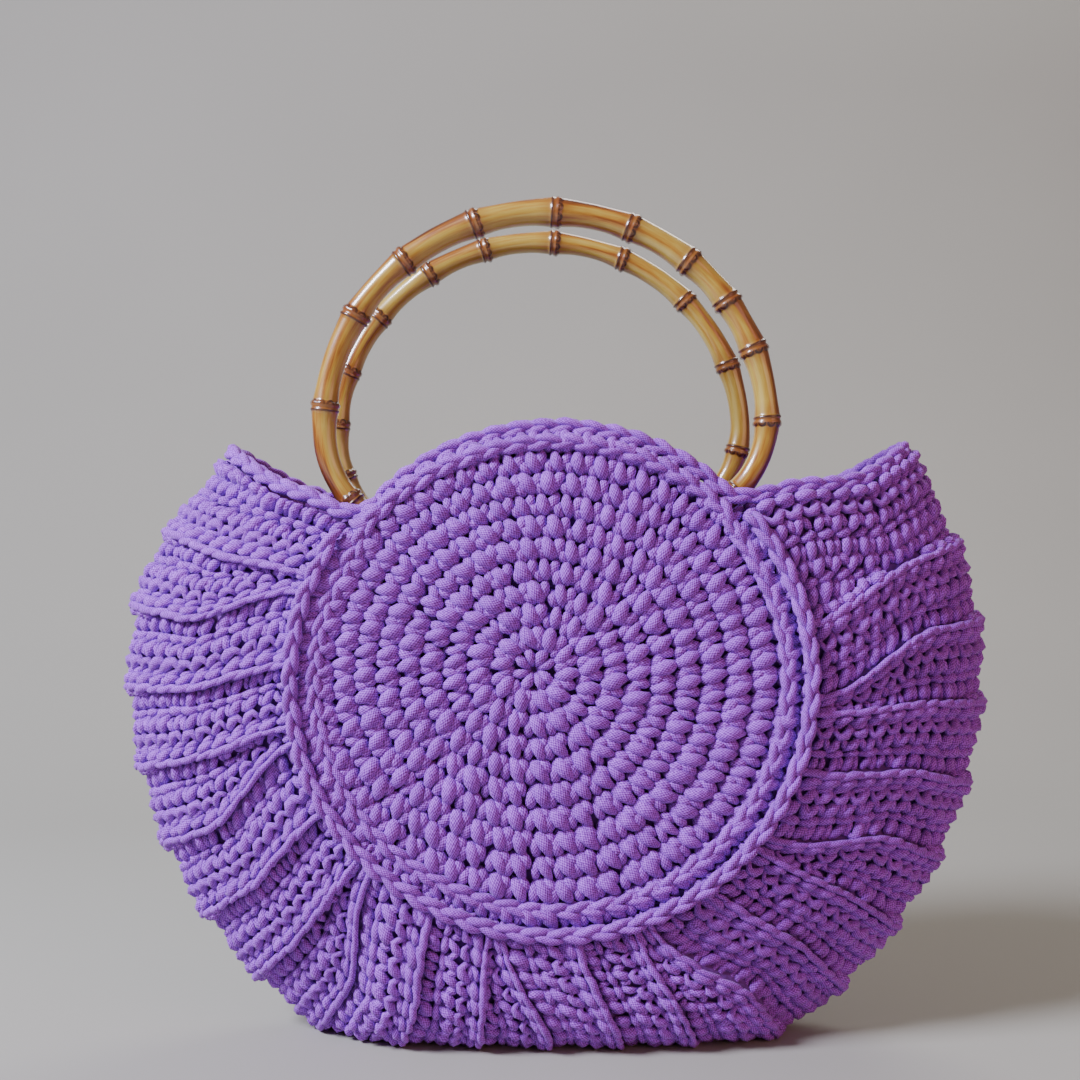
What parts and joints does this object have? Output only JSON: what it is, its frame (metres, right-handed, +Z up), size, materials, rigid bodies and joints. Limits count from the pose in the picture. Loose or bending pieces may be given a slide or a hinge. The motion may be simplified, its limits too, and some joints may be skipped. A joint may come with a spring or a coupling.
{
  "type": "crochet handbag",
  "caption": "Round crocheted handbag with a wide ribbed side strip fanned out round its panels, an open top and a pair of D-shaped bamboo handles that lean on their bars.",
  "frame": {"origin": "on the standing surface, under the middle of the bag's bounding box", "axes": "+X to the right seen from the front, +Y from the front panel to the back panel, +Z up"},
  "size_m": [0.4133, 0.1154, 0.3934],
  "materials": {
    "cord": "lavender-purple polyester cord, matt, with a fine knitted jacket",
    "bamboo": "varnished bamboo cane, yellow-brown with dark knuckles"
  },
  "bodies": {
    "bag": {"front_panel": "cord", "back_panel": "cord", "side_strip": "cord", "front_seam_chain": "cord", "back_seam_chain": "cord", "mouth_chain": "cord", "front_lashing_left": "cord", "front_lashing_middle": "cord", "front_lashing_right": "cord", "back_lashing_left": "cord", "back_lashing_middle": "cord", "back_lashing_right": "cord"},
    "front_grip_body": {"front_handle": "bamboo"},
    "back_grip_body": {"back_handle": "bamboo"}
  },
  "joints": [
    {"name": "front_handle_lean", "type": "hinge", "parent": "bag", "child": "front_grip_body", "pos_m": [-0.0023, -0.0339, 0.2415], "axis": [-0.9986, 0, -0.0523], "range_deg": [-4, 10.5]},
    {"name": "back_handle_lean", "type": "hinge", "parent": "bag", "child": "back_grip_body", "pos_m": [-0.0045, 0.0339, 0.2415], "axis": [0.9976, 0, 0.0698], "range_deg": [-4, 10.5]}
  ]
}
